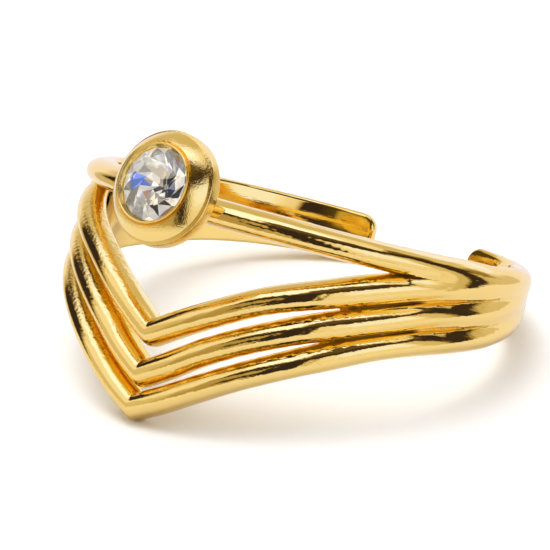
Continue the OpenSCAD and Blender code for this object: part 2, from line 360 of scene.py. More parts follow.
def net_of(shape, angles, outs, heights):
    """Points and four-sided faces of a shape's surface: one point in each cell that it crosses.

    The cells follow the ring: by angle, by distance from the ring's axis and by row. The heights of
    the rows differ from angle to angle."""
    grid = shape(*on_ring(angles[:, None, None], outs[None, :, None], heights[:, None, :]))
    inside = grid < 0
    cells = tuple(np.array(grid.shape) - 1)
    total = np.zeros(cells + (3,))
    hits = np.zeros(cells)
    turns = []
    for axis in range(3):
        others = [a for a in range(3) if a != axis]
        near = [slice(None)] * 3
        far = [slice(None)] * 3
        near[axis] = slice(0, -1)
        far[axis] = slice(1, None)
        near, far = tuple(near), tuple(far)
        edge = np.stack(np.nonzero(inside[near] != inside[far]), 1)
        start = grid[near][tuple(edge.T)]
        share = start / (start - grid[far][tuple(edge.T)])
        spot = edge.astype(float)
        spot[:, axis] += share
        around = []
        for first, second in ((0, 0), (1, 0), (1, 1), (0, 1)):
            cell = edge.copy()
            cell[:, others[0]] -= first
            cell[:, others[1]] -= second
            around.append(cell)
            np.add.at(total, tuple(cell.T), spot)
            np.add.at(hits, tuple(cell.T), 1)
        turns.append((np.stack(around, 1), (start < 0) == (axis != 1)))
    used = hits > 0
    names = np.full(cells, -1)
    names[used] = np.arange(used.sum())
    spots = total[used] / hits[used][:, None]
    i, j = (np.floor(spots[:, c]).astype(int) for c in (0, 2))
    u, v = spots[:, 0] - i, spots[:, 2] - j
    u, v = np.where(i < cells[0], u, 1), np.where(j < cells[2], v, 1)
    i, j = np.minimum(i, cells[0] - 1), np.minimum(j, cells[2] - 1)
    low = heights[i, j] * (1 - u) + heights[i + 1, j] * u
    high = heights[i, j + 1] * (1 - u) + heights[i + 1, j + 1] * u
    angle = np.interp(spots[:, 0], np.arange(len(angles)), angles)
    out = np.interp(spots[:, 1], np.arange(len(outs)), outs)
    points = np.stack(on_ring(angle, out, low * (1 - v) + high * v), 1)
    faces = []
    for around, ahead in turns:
        quads = names[tuple(around.reshape(-1, 3).T)].reshape(-1, 4)
        quads[ahead] = quads[ahead][:, ::-1]
        faces.append(quads)
    return points, np.concatenate(faces)


def wire_rows(angles):
    """Heights of the cells' rows at each angle. They follow the wires and the gaps between them."""
    share = np.clip((np.abs(angles) - EVEN_FROM) / EVEN_OVER, 0, 1)
    high, low = (np.interp(np.abs(angles), ANGLES, WIRE_Z[v]) for v in (0, 3))
    middles = []
    halves = []
    for v in range(4):
        wire = np.interp(np.abs(angles), ANGLES, WIRE_Z[v])
        even = high + (low - high) * v / 3
        middles.append(wire * (1 - share) + even * share)
        halves.append(ROW_REACH * WIRE_H / 2 / np.interp(np.abs(angles), ANGLES, WIRE_LEAN[v]))
    rows = [middles[3] - halves[3] * EDGE_REACH]
    for v in (3, 2, 1, 0):
        down = up = halves[v]
        if v < 3:
            down = np.minimum(halves[v], ROW_SHARE * (middles[v] - middles[v + 1]))
        if v > 0:
            up = np.minimum(halves[v], ROW_SHARE * (middles[v - 1] - middles[v]))
        start, end = middles[v] - down, middles[v] + up
        if v < 3:
            gap = GAP_CELLS if v > 0 else CROTCH_CELLS
            last = rows[-1]
            rows += [last + (start - last) * i / gap for i in range(1, gap)]
        rows += [start + (end - start) * i / WIRE_CELLS for i in range(WIRE_CELLS + 1)]
    rows.append(middles[0] + halves[0] * EDGE_REACH)
    return np.stack(rows, 1)


def relax(points, faces, passes, shape):
    """Evens out a net: each point moves towards its neighbours' middle, then back to the surface."""
    ends = np.concatenate([faces, np.roll(faces, -1, 1)], 1).reshape(-1, 2, 4)
    a, b = ends[:, 0].ravel(), ends[:, 1].ravel()
    count = np.bincount(a, minlength=len(points)) + np.bincount(b, minlength=len(points))
    for _ in range(passes):
        total = np.stack(
            [
                np.bincount(a, points[b, c], len(points)) + np.bincount(b, points[a, c], len(points))
                for c in range(3)
            ],
            1,
        )
        points = pull_in(shape, (points + total / count[:, None]) / 2, passes=2)
    return points


# Places of the ring as it rests and, on the ring, of the cup, whose own axis looks out of its lip
REST = Matrix.Translation((0, SHIFT_Y, LIFT)) @ Matrix.Rotation(-math.radians(REST_TILT), 4, "X")
CUP_R = INNER_R + WIRE_T + BAR_BOW + CUP_OUT
CUP = Matrix.Translation((0, -CUP_R, BAR_Z + CUP_RISE)) @ Matrix.Rotation(
    math.radians(90 - CUP_TILT), 4, "X"
)


def make_object(name, points, faces, place, material, normals=None):
    """A mesh object in metres, from points in mm and a place matrix in mm."""
    mesh = bpy.data.meshes.new(name)
    turned = points @ np.array(place.to_3x3()).T + np.array(place.translation)
    mesh.from_pydata((turned * MM).tolist(), [], faces.tolist() if hasattr(faces, "tolist") else faces)
    mesh.validate()
    mesh.polygons.foreach_set("use_smooth", [True] * len(mesh.polygons))
    if normals is not None:
        mesh.normals_split_custom_set((normals @ np.array(place.to_3x3()).T).tolist())
    mesh.materials.append(material)
    obj = bpy.data.objects.new(name, mesh)
    bpy.context.collection.objects.link(obj)
    return obj


def mark(obj, name, values):
    """Gives each of an object's points a number or a vector that its material reads by name."""
    kind, key = ("FLOAT", "value") if values.ndim == 1 else ("FLOAT_VECTOR", "vector")
    layer = obj.data.attributes.new(name, kind, "POINT")
    layer.data.foreach_set(key, values.ravel())


def corner_normals(shape, points, faces):
    """A normal for each corner of each face, so that the V's mitre stays crisp at x = 0."""
    normals = slope(shape, points)
    corners = normals[faces]
    on_mitre = np.abs(points[:, 0]) < MITRE_W
    rows, cols = np.nonzero(on_mitre[faces])
    middles = points[faces[rows]].mean(1)
    spots = points[faces[rows, cols]]
    corners[rows, cols] = slope(shape, spots + MITRE_SHARE * (middles - spots))
    corners = corners.reshape(-1, 3)
    return corners / np.linalg.norm(corners, axis=1)[:, None]


def clearance(points, facing, reach):
    """How free of metal each point's front is: 1 where there is none within reach, 0 right under it."""
    return np.clip(ring_shape(*(points + reach * facing).T) / reach, 0, 1)


# The recess mark sets the gold's painted shade, painted gold-on-gold reflection and painted bounce light,
# and where its ridges lie
# How closed in a point is, measured over this reach, in mm. Past some way along the ring from the
# front it counts for less, by a share, and the change is spread over the fade.
RECESS_REACH = 0.45
SHALLOW_FROM = 10.0
SHALLOW_FADE = 3.5
SHALLOW_SHARE = 0.9
# The inner wall counts as closed in, and so takes the painted recess shade and glow, from this far along
# the ring, near the open ends
INSIDE_FROM = 25.2
INSIDE_FADE = 1.5
# The crease mark sets the gold's painted dark shade line
# Creases between wires are measured over this reach, and fade out past some way along the ring.
# They are only where the surface looks outwards, and the turn says how soon it counts as such.
CREASE_REACH = 0.13
CREASE_LAST = 12.0
CREASE_FADE = 2.2
CREASE_TURN = 4


def ring_metal(material):
    """The bar, the V wires and the two bands as one closed surface."""
    near = np.arange(CORNER_CELL / 2, CORNER_ZONE, CORNER_CELL)
    further = np.arange(near[-1] + ANGLE_CELL, LAST_ANGLE + 2 * ANGLE_CELL, ANGLE_CELL)
    half = np.concatenate([near, further])
    angles = np.concatenate([-half[::-1], half])
    outs = np.arange(INNER_R - 2 * OUT_CELL, INNER_R + WIRE_T + BAR_BOW + 2 * OUT_CELL, OUT_CELL)
    points, faces = net_of(ring_shape, angles, outs, wire_rows(angles))
    points = pull_in(ring_shape, points, passes=4)
    points = relax(points, faces, passes=2, shape=ring_shape)
    points = pull_in(ring_shape, points, passes=3)
    normals = corner_normals(ring_shape, points, faces)
    metal = make_object("ring_metal", points, faces, REST, material, normals)
    x, y, z = points.T
    way = np.arctan2(x, -y) * (INNER_R + WIRE_T)
    mark(metal, "along", np.stack([way, z, np.hypot(x, y)], 1))
    facing = slope(ring_shape, points)
    facing = facing / np.linalg.norm(facing, axis=1)[:, None]
    under_bar = z < np.interp(np.degrees(np.arctan2(np.abs(x), -y)), ANGLES, VALLEY_Z[0])
    mark(metal, "upward", facing[:, 2] * under_bar)
    # Near 1 where other metal stands close in front, and inside the band towards its open ends. There the
    # gold takes painted shade and painted gold-on-gold reflection
    inward = -(facing[:, 0] * x + facing[:, 1] * y) / np.hypot(x, y)
    near_end = np.clip((np.abs(way) - INSIDE_FROM) / INSIDE_FADE, 0, 1)
    shallow = np.clip((np.abs(way) - SHALLOW_FROM) / SHALLOW_FADE, 0, 1)
    closed = (1 - clearance(points, facing, RECESS_REACH)) * (1 - SHALLOW_SHARE * shallow)
    mark(metal, "recess", np.maximum(closed, np.clip(inward, 0, 1) * near_end))
    # Near 1 along the creases where two wires meet, where the gold takes a painted dark shade line
    far = np.clip((np.abs(way) - CREASE_LAST) / CREASE_FADE, 0, 1)
    outwards = np.clip(-CREASE_TURN * inward, 0, 1) * (1 - far)
    mark(metal, "crease", (1 - clearance(points, facing, CREASE_REACH)) * outwards)
    return metal


# The cup, turned round its own axis: its steps at the foot and shoulder, the groove round its lip,
# the rounding of its foot, and how far its shoulder swells. Sides that meet at more than the sharp
# angle keep a crisp edge.
CUP_SIDES = 160
STEP_W = 0.05
GROOVE_W = 0.10
CUP_BULGE = 0.035
BEVEL = 0.05
SHARP_ANGLE = 35
SOLDER_MARGIN = 0.01


def arc(cx, cy, r, start, end, steps):
    """Points on an arc, from start to end in degrees."""
    turns = np.radians(np.linspace(start, end, steps + 1))
    return [(cx + r * math.cos(t), cy + r * math.sin(t)) for t in turns]


def bulge(start, end, depth, steps):
    """Points from start to end on a shallow curve that stands out to the right of that way."""
    way = Vector(end) - Vector(start)
    out = Vector((way.y, -way.x)).normalized() * depth
    shares = [i / steps for i in range(steps + 1)]
    return [tuple(Vector(start) + way * u + out * 4 * u * (1 - u)) for u in shares]


def cup_outline():
    """Half section of the cup from the solder's back round the outside to the pocket's floor."""
    neck_r = LIP_D / 2 + STEP_W
    neck_h = LIP_H - 2 * STEP_W
    shoulder_r = SHOULDER_D / 2
    foot_r = FOOT_D / 2
    seat_r = STONE_D / 2 + STONE_GAP
    girdle_top = LIP_H - STONE_SINK
    floor_h = girdle_top - GIRDLE_H - PAVILION_H - STONE_GAP
    solder_l = CUP_OUT + WIRE_T / 2
    return (
        [(0, -solder_l), (SOLDER_D / 2, -solder_l), (SOLDER_D / 2, -BEVEL)]
        + arc(SOLDER_D / 2 + BEVEL, -BEVEL, BEVEL, 180, 90, 3)
        + arc(foot_r - BEVEL, BEVEL, BEVEL, -90, 0, 4)
        + arc(foot_r - BEVEL, SHOULDER_H - 2 * STEP_W - BEVEL, BEVEL, 0, 90, 4)
        + [(shoulder_r - STEP_W, SHOULDER_H - STEP_W)]
        + arc(shoulder_r - STEP_W / 2, SHOULDER_H - STEP_W / 2, STEP_W / 2, -60, 40, 4)
        + bulge((shoulder_r, SHOULDER_H), (neck_r + GROOVE_W / 2, neck_h - STEP_W / 2), CUP_BULGE, 14)
        + [(LIP_D / 2, neck_h - GROOVE_W)]
        + arc(LIP_D / 2 - LIP_W / 2, LIP_H - LIP_W / 2, LIP_W / 2, 0, 180, 6)
        + [(seat_r, girdle_top + STONE_GAP), (seat_r, girdle_top - GIRDLE_H - STONE_GAP), (0, floor_h)]
    )


def turned_cup(material, solder):
    """The cup: its outline turned round the axis, with crisp edges where it bends sharply."""
    outline = cup_outline()
    rings = outline[1:-1]
    turns = np.arange(CUP_SIDES) * 2 * math.pi / CUP_SIDES
    points = [(r * math.cos(t), r * math.sin(t), h) for r, h in rings for t in turns]
    points += [(0, 0, outline[0][1]), (0, 0, outline[-1][1])]
    back, floor = len(points) - 2, len(points) - 1
    faces = []
    for s in range(CUP_SIDES):
        after = (s + 1) % CUP_SIDES
        faces.append((back, after, s))
        for i in range(len(rings) - 1):
            here = i * CUP_SIDES
            there = here + CUP_SIDES
            faces.append((here + s, here + after, there + after, there + s))
        last = (len(rings) - 1) * CUP_SIDES
        faces.append((last + s, last + after, floor))
    cup = make_object("cup", np.array(points), faces, REST @ CUP, material)
    cup.data.set_sharp_from_angle(angle=math.radians(SHARP_ANGLE))
    cup.data.materials.append(solder)
    solder_r = SOLDER_D / 2 + SOLDER_MARGIN
    for face in cup.data.polygons:
        corners = [points[i] for i in face.vertices]
        if max(math.hypot(c[0], c[1]) for c in corners) < solder_r and corners[0][2] < 0:
            face.material_index = 1
    return cup


# Facets of the stone's foiled back: how far out each ring of corners lies, as a share of the
# stone's radius, how deep, as a share of the pavilion, and its number of corners
FACETS = 8
PAVILION = (
    (1.0, 0.0, 2 * FACETS),
    (0.76, 0.2, 2 * FACETS),
    (0.46, 0.48, 2 * FACETS),
    (0.2, 0.74, FACETS),
)
# Its inner corners stray by up to this share of their radius and of twice their spacing, and in
# depth by the same share of the stray depth, in mm
STRAY = 0.16
STRAY_DEPTH = 0.2
# Turn from a girdle corner to half way to the next, in degrees
HALF_FACET = 360 / (4 * FACETS)
# Height of the star facets' outer corners, as a share of the crown
STAR_H = 0.62
# Colours of the foil's painted facet reflections
WHITE = (1.0, 0.97, 0.88)
LIGHT_GREY = (0.67, 0.65, 0.59)
MID_GREY = (0.35, 0.34, 0.31)
DARK = (0.045, 0.042, 0.045)
BROWN = (0.30, 0.19, 0.09)
BLUE = (0.20, 0.34, 0.95)
# Painted reflections on the foil's facets that come by chance
CHANCE_REFLECTIONS = (WHITE,) * 7 + (LIGHT_GREY,) * 6 + (MID_GREY,) * 5 + (DARK, BROWN)
# Painted reflections and flashes on the foil's facets that are set by place: across and up from the
# stone's middle, in mm, how far the colour reaches, and the colour
PLACED_REFLECTIONS = (
    (-0.90, -0.10, 0.34, BLUE),
    (0.55, -0.25, 0.26, DARK),
    (0.05, -0.15, 0.20, DARK),
    (-0.85, -0.95, 0.36, MID_GREY),
    (0.10, 1.25, 0.30, MID_GREY),
    (-0.55, 0.55, 0.22, LIGHT_GREY),
    (0.45, 0.45, 0.20, MID_GREY),
    (-0.40, -0.55, 0.18, BROWN),
)
SEED = 11
FOIL_MARGIN = 0.001


def cut_stone(material, foil):
    """A round cut: table, star, kite and girdle facets above, a foiled pavilion below."""
    rng = np.random.default_rng(SEED)
    table_r, girdle_r = TABLE_D / 2, STONE_D / 2
    star_r = (table_r + girdle_r) / 2
    girdle_top = LIP_H - STONE_SINK
    mesh = bmesh.new()

    def ring_of(r, h, count, turn, stray=0.0):
        spots = []
        for i in range(count):
            a, b, c = rng.uniform(-1, 1, 3) * stray
            t = math.radians(turn + 360 * (i + 2 * a) / count)
            out = r * (1 + b)
            spots.append(mesh.verts.new((out * math.cos(t), out * math.sin(t), h + STRAY_DEPTH * c)))
        return spots

    table = ring_of(table_r, girdle_top + CROWN_H, FACETS, 0)
    star = ring_of(star_r, girdle_top + CROWN_H * STAR_H, FACETS, 2 * HALF_FACET)
    upper = ring_of(girdle_r, girdle_top, 2 * FACETS, 0)
    girdle_low = girdle_top - GIRDLE_H
    backs = [
        ring_of(
            girdle_r * out,
            girdle_low - PAVILION_H * deep,
            count,
            HALF_FACET * (i % 2),
            STRAY * min(i, 1),
        )
        for i, (out, deep, count) in enumerate(PAVILION)
    ]
    lower = backs[0]
    tip = mesh.verts.new((0, 0, girdle_low - PAVILION_H))
    mesh.faces.new(table)
    for i in range(FACETS):
        n = (i + 1) % FACETS
        mesh.faces.new((table[i], star[i], table[n]))
        mesh.faces.new((table[i], star[i - 1], upper[2 * i], star[i]))
        mesh.faces.new((star[i], upper[2 * i], upper[2 * i + 1]))
        mesh.faces.new((star[i], upper[2 * i + 1], upper[2 * n]))
    for i in range(2 * FACETS):
        n = (i + 1) % (2 * FACETS)
        mesh.faces.new((upper[i], lower[i], lower[n], upper[n]))
    for wide, narrow in zip(backs[:-1], backs[1:]):
        halves = len(wide) // len(narrow)
        for i in range(len(wide)):
            n = (i + 1) % len(wide)
            here = narrow[(i // halves) % len(narrow)]
            there = narrow[(n // halves) % len(narrow)]
            mesh.faces.new((wide[i], wide[n], here))
            if here != there:
                mesh.faces.new((wide[n], there, here))
    for i in range(FACETS):
        mesh.faces.new((backs[-1][i], backs[-1][(i + 1) % FACETS], tip))
    bmesh.ops.recalc_face_normals(mesh, faces=mesh.faces)
    # Each foil facet gets a painted reflection colour, by chance or by place
    shade = mesh.loops.layers.float_color.new("shade")
    for face in mesh.faces:
        colour = WHITE
        middle = face.calc_center_median()
        if middle.z < girdle_low - FOIL_MARGIN:
            face.material_index = 1
            colour = CHANCE_REFLECTIONS[rng.integers(len(CHANCE_REFLECTIONS))]
            for across, up, reach, placed_reflection in PLACED_REFLECTIONS:
                if math.hypot(middle.x - across, middle.y - up) < reach:
                    colour = placed_reflection
        for loop in face.loops:
            loop[shade] = (*colour, 1)
    mesh.transform(Matrix.Scale(MM, 4) @ REST @ CUP)
    data = bpy.data.meshes.new("cut_stone")
    mesh.to_mesh(data)
    mesh.free()
    data.materials.append(material)
    data.materials.append(foil)
    stone = bpy.data.objects.new("cut_stone", data)
    bpy.context.collection.objects.link(stone)
    return stone


# Materials
class Graph:
    """Short calls to add nodes to a node tree."""

    def __init__(self, tree):
        self.nodes = tree.nodes
        self.links = tree.links

    def put(self, socket, value):
        """Links a socket to another, or sets its number or colour."""
        if isinstance(value, bpy.types.NodeSocket):
            self.links.new(value, socket)
        else:
            socket.default_value = value

    def fill(self, node, values):
        """Puts each value into the input of that name."""
        for name, value in values.items():
            self.put(node.inputs[name], value)

    def math(self, operation, *values):
        node = self.nodes.new("ShaderNodeMath")
        node.operation = operation
        for socket, value in zip(node.inputs, values):
            self.put(socket, value)
        return node.outputs[0]

    def product(self, first, *others):
        for other in others:
            first = self.math("MULTIPLY", first, other)
        return first

    def steps(self, value, start, end, low=0.0, high=1.0):
        """From low to high on a smooth curve while the value goes from start to end."""
        node = self.nodes.new("ShaderNodeMapRange")
        node.interpolation_type = "SMOOTHSTEP"
        for socket, given in zip(node.inputs, (value, start, end, low, high)):
            self.put(socket, given)
        return node.outputs[0]

    def within(self, value, low, high, soft):
        """1 between low and high, falling to 0 over soft centred on each."""
        rise = self.steps(value, low - soft / 2, low + soft / 2)
        fall = self.steps(value, high - soft / 2, high + soft / 2, 1.0, 0.0)
        return self.product(rise, fall)

    def blend(self, share, a, b):
        """Number a where share is 0, number b where it is 1."""
        left = self.math("SUBTRACT", 1.0, share)
        return self.math("ADD", self.product(left, a), self.product(share, b))

    def mixed(self, share, a, b):
        """Colour a where share is 0, colour b where it is 1."""
        node = self.nodes.new("ShaderNodeMix")
        node.data_type = "RGBA"
        self.put(node.inputs[0], share)
        self.put(node.inputs[6], a)
        self.put(node.inputs[7], b)
        return node.outputs[2]

    def mixed_shaders(self, share, a, b):
        """Shader a where share is 0, shader b where it is 1."""
        node = self.nodes.new("ShaderNodeMixShader")
        for socket, value in zip(node.inputs, (share, a, b)):
            self.put(socket, value)
        return node.outputs[0]

    def attribute(self, name):
        node = self.nodes.new("ShaderNodeAttribute")
        node.attribute_name = name
        return node

    def split(self, vector):
        node = self.nodes.new("ShaderNodeSeparateXYZ")
        self.put(node.inputs[0], vector)
        return node.outputs

    def vector_math(self, operation, *vectors):
        node = self.nodes.new("ShaderNodeVectorMath")
        node.operation = operation
        for socket, vector in zip(node.inputs, vectors):
            self.put(socket, vector)
        return node.outputs

    def scaled(self, vector, factors):
        return self.vector_math("MULTIPLY", vector, factors)[0]

    def noise(self, vector, scale, detail):
        node = self.nodes.new("ShaderNodeTexNoise")
        self.fill(node, {"Vector": vector, "Scale": scale, "Detail": detail})
        return node.outputs[0]

    def centred(self, noise, height):
        """A noise moved to vary about 0, and scaled."""
        return self.product(self.math("SUBTRACT", noise, 0.5), height)

    def raised(self, height):
        """The surface's normal where a height in mm shapes it."""
        node = self.nodes.new("ShaderNodeBump")
        self.fill(node, {"Distance": MM, "Height": height})
        return node.outputs["Normal"]

    def ramp(self, value, stops):
        """The colour at a value, straight between stops."""
        node = self.nodes.new("ShaderNodeValToRGB")
        while len(node.color_ramp.elements) < len(stops):
            node.color_ramp.elements.new(1)
        for element, (at, colour) in zip(node.color_ramp.elements, stops):
            element.position = at
            element.color = (*colour, 1)
        self.put(node.inputs[0], value)
        return node.outputs[0]


def seen_directly(graph):
    """1 where the camera or soft light meets a surface and 0 in a mirror, then 1 for soft light alone."""
    path = graph.nodes.new("ShaderNodeLightPath")
    soft = graph.math("MINIMUM", path.outputs["Diffuse Depth"], 1.0)
    return graph.math("MAXIMUM", path.outputs["Is Camera Ray"], soft), soft


def new_material(name, values):
    """A material, the graph of its nodes, and its shader with these values."""
    material = bpy.data.materials.new(name)
    material.use_nodes = True
    graph = Graph(material.node_tree)
    shader = graph.nodes["Principled BSDF"]
    graph.fill(shader, values)
    return material, graph, shader


GOLD = (0.98, 0.735, 0.235)
# Deep gold, used for the solder, and on the plating for the painted shade and gold-on-gold reflection in
# recesses
DEEP_GOLD = (0.88, 0.60, 0.09)
# Painted dark shade along the creases where two wires meet
CREASE_SHADE_COLOUR = (0.26, 0.145, 0.03)
# Painted bounce light that glows in the recesses
RECESS_GLOW = (0.05, 0.027, 0.002)
# Recess marks at which the painted shade and gold-on-gold reflection start to deepen the gold and are
# deepest, and the same for its glow of painted bounce light
RECESS_SHADE_MARKS = (0.42, 0.9)
GLOWS = (0.5, 1.0)
# Crease marks between which the painted dark crease shade sets in
CREASE_SHADE_MARKS = (0.72, 1.0)
# Heights of the marks in mm. Places along the ring are in mm from the front, above 0 at the right.
LINE_HEIGHT = 0.004
RIPPLE_HEIGHT = 0.006
# How fine the lines and ripples are along the ring, upwards and outwards, for each mm
LINE_SCALE = (0.9, 16, 16)
RIPPLE_SCALE = (1.4, 4, 4)
# Radii over which the polish of the inner wall ends, and the share of the lines that it leaves
POLISH_ENDS = (9.05, 9.2)
POLISH_LEAVES = 0.2
# Cast grain: where it sets in beside the front, where it ends, and how far the wire looks up there
CAST_HEIGHT = 0.026
CAST_STARTS = (-1.2, -2.4)
CAST_ENDS = (-13.0, -10.0)
CAST_FACING = (0.38, 0.6)
CAST_HAZE = 0.03
# Ridges: from and to, soft edge, and the recess marks over which they set in
RIDGE_HEIGHT = 0.014
RIDGE_PLACE = (1.2, 9.5, 1.5)
RIDGE_RECESS = (0.2, 0.5)
# Pits: how deep they are, how far apart they may lie, and how wide they are as a share of that
PIT_DEPTH = 0.02
PITS_PER_MM = 1.1
PIT_REACH = 0.05
# Roughness of the gold at its smoothest, and how much it varies
HAZE_LEAST = 0.015
HAZE_SPREAD = 0.05
SATIN_HEIGHT = 0.007
SATIN_HAZE_LEAST = 0.02
SATIN_HAZE_SPREAD = 0.08


def gold_plate():
    """Polished gold plating on the wires and bands, with the marks of their casting and polishing.

    The mesh carries "along", in mm: the way round the ring, the height and the distance from the
    axis; "upward", how far a V wire's surface looks up; "recess", how closed in it is; and
    "crease", how close it is to the line where two wires meet."""
    # Its colour carries painted shade, painted gold-on-gold reflection and painted bounce light in
    # recesses and creases
    material, graph, shader = new_material("gold_plate", {"Metallic": 1, "Emission Strength": 1})
    along = graph.attribute("along").outputs["Vector"]
    upward = graph.attribute("upward").outputs["Fac"]
    recess = graph.attribute("recess").outputs["Fac"]
    crease = graph.attribute("crease").outputs["Fac"]
    # Painted shade and painted reflection of gold in gold: the colour deepens to orange where the metal
    # is closed in
    deep = graph.ramp(recess, ((RECESS_SHADE_MARKS[0], GOLD), (RECESS_SHADE_MARKS[1], DEEP_GOLD)))
    # Painted shade: a dark line along the creases where two wires meet
    crease_shade = graph.steps(crease, *CREASE_SHADE_MARKS)
    # The glow is light that goes to and fro between the wires, more often than a render follows it
    glow = graph.ramp(recess, ((GLOWS[0], (0, 0, 0)), (GLOWS[1], RECESS_GLOW)))
    way, _, radius = graph.split(along)
    # Fine lines left along the wires, fainter on the polished inner wall
    calm = graph.math("MULTIPLY_ADD", graph.steps(radius, *POLISH_ENDS), 1 - POLISH_LEAVES, POLISH_LEAVES)
    drawn = graph.noise(graph.scaled(along, LINE_SCALE), scale=1, detail=3)
    wavy = graph.noise(graph.scaled(along, RIPPLE_SCALE), scale=1, detail=2)
    lines = graph.math("ADD", graph.centred(drawn, LINE_HEIGHT), graph.centred(wavy, RIPPLE_HEIGHT))
    # The left arms' upper faces are rough as cast
    rough = graph.product(
        graph.steps(way, *CAST_STARTS), graph.steps(upward, *CAST_FACING), graph.steps(way, *CAST_ENDS)
    )
    cast = graph.product(graph.noise(along, scale=5.5, detail=5), rough, CAST_HEIGHT)
    # Slanting ridges on the right arms' undersides
    wave = graph.nodes.new("ShaderNodeTexWave")
    wave.wave_profile = "SIN"
    wave.bands_direction = "DIAGONAL"
    slanted = graph.scaled(along, (1.0, -1.0, 0))
    graph.fill(wave, {"Vector": slanted, "Scale": 1.5, "Distortion": 1.2, "Detail Scale": 2.0})
    under = graph.product(graph.within(way, *RIDGE_PLACE), graph.steps(recess, *RIDGE_RECESS))
    ridges = graph.product(wave.outputs["Fac"], under, RIDGE_HEIGHT)
    # A few tiny pits
    spots = graph.nodes.new("ShaderNodeTexVoronoi")
    graph.fill(spots, {"Vector": along, "Scale": PITS_PER_MM})
    pit = graph.product(graph.steps(spots.outputs["Distance"], PIT_REACH, 0.0), -PIT_DEPTH)
    height = graph.product(lines, calm)
    for part in (cast, ridges, pit):
        height = graph.math("ADD", height, part)
    uneven = graph.noise(along, scale=5, detail=3)
    haze = graph.math("MULTIPLY_ADD", uneven, HAZE_SPREAD, HAZE_LEAST)
    graph.fill(shader, {
        "Base Color": graph.mixed(crease_shade, deep, (*CREASE_SHADE_COLOUR, 1)),
        "Emission Color": glow,
        "Normal": graph.raised(height),
        "Roughness": graph.math("MULTIPLY_ADD", rough, CAST_HAZE, haze),
    })
    return material


def satin_gold(name, colour):
    """The cup's gold: blasted to a fine satin grain, then lightly polished."""
    material, graph, shader = new_material(name, {"Base Color": (*colour, 1), "Metallic": 1})
    own_place = graph.nodes.new("ShaderNodeTexCoord").outputs["Object"]
    place = graph.scaled(own_place, (1 / MM, 1 / MM, 1 / MM))
    fine = graph.noise(place, scale=18, detail=3)
    coarse = graph.noise(place, scale=7, detail=2)
    grain = graph.product(graph.math("ADD", fine, coarse), SATIN_HEIGHT)
    uneven = graph.noise(place, scale=3, detail=2)
    graph.fill(shader, {
        "Normal": graph.raised(grain),
        "Roughness": graph.math("MULTIPLY_ADD", uneven, SATIN_HAZE_SPREAD, SATIN_HAZE_LEAST),
    })
    return material


def clear_stone():
    """Clear cut glass."""
    values = {
        "Base Color": (0.97, 0.98, 1, 1),
        "Roughness": 0.01,
        "IOR": 1.5,
        "Specular IOR Level": 0.35,
        "Transmission Weight": 1,
    }
    return new_material("clear_stone", values)[0]


def foil_back():
    """Silver foil under the stone, with painted reflections that make some facets light and others dark,
    and a painted glow in their colours.
    """
    # The emission is painted light: the facets glow in their painted reflection colours
    values = {"Metallic": 1, "Roughness": 0.12, "Emission Strength": 0.42}
    material, graph, shader = new_material("foil_back", values)
    shade = graph.attribute("shade").outputs["Color"]
    graph.fill(shader, {"Base Color": shade, "Emission Color": shade})
    return material


# Camera: the photo's view of the ring as it lies. Its place is seen from the ring's own middle, in
# degrees and mm, and it is turned a little so that the ring stands where the photo has it.
FRAME_SIZE = 550
FOCAL_PIXELS = 4990
SENSOR_WIDTH = 36
CAMERA_AZIMUTH = 35.3
CAMERA_ELEVATION = 5.72
CAMERA_DISTANCE = 220
CAMERA_YAW = -0.28
# Nearest and furthest that the camera sees, in metres
CLIP_START = 0.01
CLIP_END = 10


def make_camera():
    """The angles are the ring's own, before it is tipped back. The picture's bottom edge is level."""
    azimuth, elevation = math.radians(CAMERA_AZIMUTH), math.radians(CAMERA_ELEVATION)
    level = math.cos(elevation)
    back = Vector((math.sin(azimuth) * level, -math.cos(azimuth) * level, math.sin(elevation)))
    place = REST @ (CAMERA_DISTANCE * back)
    back = REST.to_3x3() @ back
    right = Vector((0, 0, 1)).cross(back).normalized()
    up = back.cross(right)
    yaw = math.radians(CAMERA_YAW)
    turned_right = math.cos(yaw) * right + math.sin(yaw) * back
    turned_back = math.cos(yaw) * back - math.sin(yaw) * right
    data = bpy.data.cameras.new("camera")
    data.sensor_width = SENSOR_WIDTH
    data.lens = FOCAL_PIXELS * SENSOR_WIDTH / FRAME_SIZE
    data.clip_start = CLIP_START
    data.clip_end = CLIP_END
    camera = bpy.data.objects.new("camera", data)
    camera.matrix_world = Matrix((
        (turned_right.x, up.x, turned_back.x, place.x * MM),
        (turned_right.y, up.y, turned_back.y, place.y * MM),
        (turned_right.z, up.z, turned_back.z, place.z * MM),
        (0, 0, 0, 1),
    ))
    bpy.context.collection.objects.link(camera)
    bpy.context.scene.camera = camera


# The studio: what lies round the ring in each direction. Azimuth 0 is towards -Y and 90 towards +X,
# elevation 0 is level, both in degrees. A level is how light it is, 1 as light as white paper.
BASE_LEVEL = 0.6
